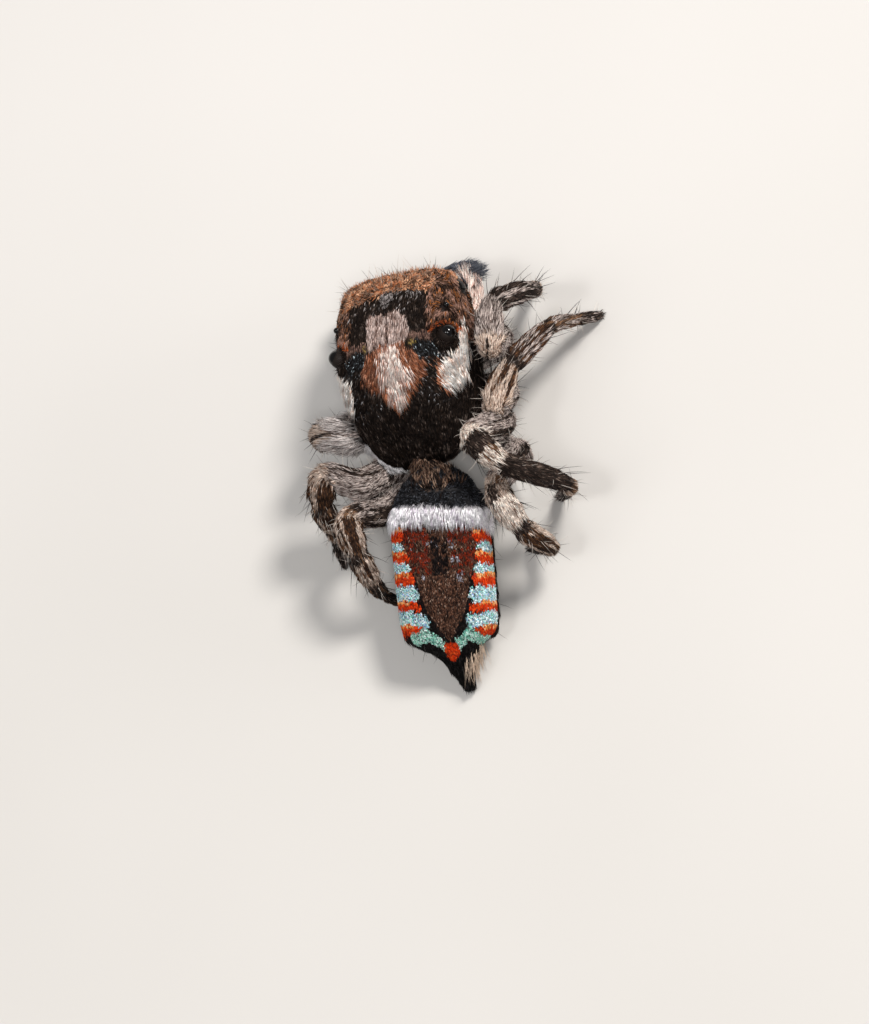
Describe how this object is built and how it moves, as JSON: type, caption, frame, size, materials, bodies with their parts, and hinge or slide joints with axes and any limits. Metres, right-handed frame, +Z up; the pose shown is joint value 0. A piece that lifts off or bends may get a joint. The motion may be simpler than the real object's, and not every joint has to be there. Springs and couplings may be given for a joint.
{
  "type": "peacock spider",
  "caption": "Life-size still model of a male peacock spider with a red and turquoise barred abdomen, standing crouched.",
  "frame": {"origin": "middle of the bounding box on the floor, under the body between the eight feet", "axes": "-Y towards the head, +Y towards the tail, -X is the animal's own right, +Z up"},
  "size_m": [0.0034, 0.0048, 0.0017],
  "materials": {
    "dark_coat": "black hair and scales with white, orange and rust patches",
    "plate_scales": "brown scales with red-orange and iridescent turquoise bars",
    "mouthpart_coat": "grey and cream hair over dark cuticle",
    "leg_coat": "grey, cream and brown hair in streaks",
    "eye_lens": "glossy black lens",
    "claw": "dark shiny bristles and claws"
  },
  "bodies": {
    "root": {"cephalothorax": "dark_coat", "pedicel": "dark_coat", "abdomen": "plate_scales", "spinnerets": "dark_coat", "chelicera_right": "mouthpart_coat", "chelicera_left": "mouthpart_coat", "pedipalp_right": "mouthpart_coat", "pedipalp_left": "mouthpart_coat", "eye_front_middle_right": "eye_lens", "eye_front_middle_left": "eye_lens", "eye_front_side_right": "eye_lens", "eye_front_side_left": "eye_lens", "eye_rear_middle_right": "eye_lens", "eye_rear_middle_left": "eye_lens", "eye_rear_side_right": "eye_lens", "eye_rear_side_left": "eye_lens", "leg_right_1_thigh": "leg_coat", "leg_right_1_shin": "leg_coat", "leg_right_1_foot": "leg_coat", "leg_right_2_thigh": "leg_coat", "leg_right_2_shin": "leg_coat", "leg_right_2_foot": "leg_coat", "leg_right_3_thigh": "leg_coat", "leg_right_3_shin": "leg_coat", "leg_right_3_foot": "leg_coat", "leg_right_4_thigh": "leg_coat", "leg_right_4_shin": "leg_coat", "leg_right_4_foot": "leg_coat", "leg_left_1_thigh": "leg_coat", "leg_left_1_shin": "leg_coat", "leg_left_1_foot": "leg_coat", "leg_left_2_thigh": "leg_coat", "leg_left_2_shin": "leg_coat", "leg_left_2_foot": "leg_coat", "leg_left_3_thigh": "leg_coat", "leg_left_3_shin": "leg_coat", "leg_left_3_foot": "leg_coat", "leg_left_4_thigh": "leg_coat", "leg_left_4_shin": "leg_coat", "leg_left_4_foot": "leg_coat"}
  },
  "joints": []
}
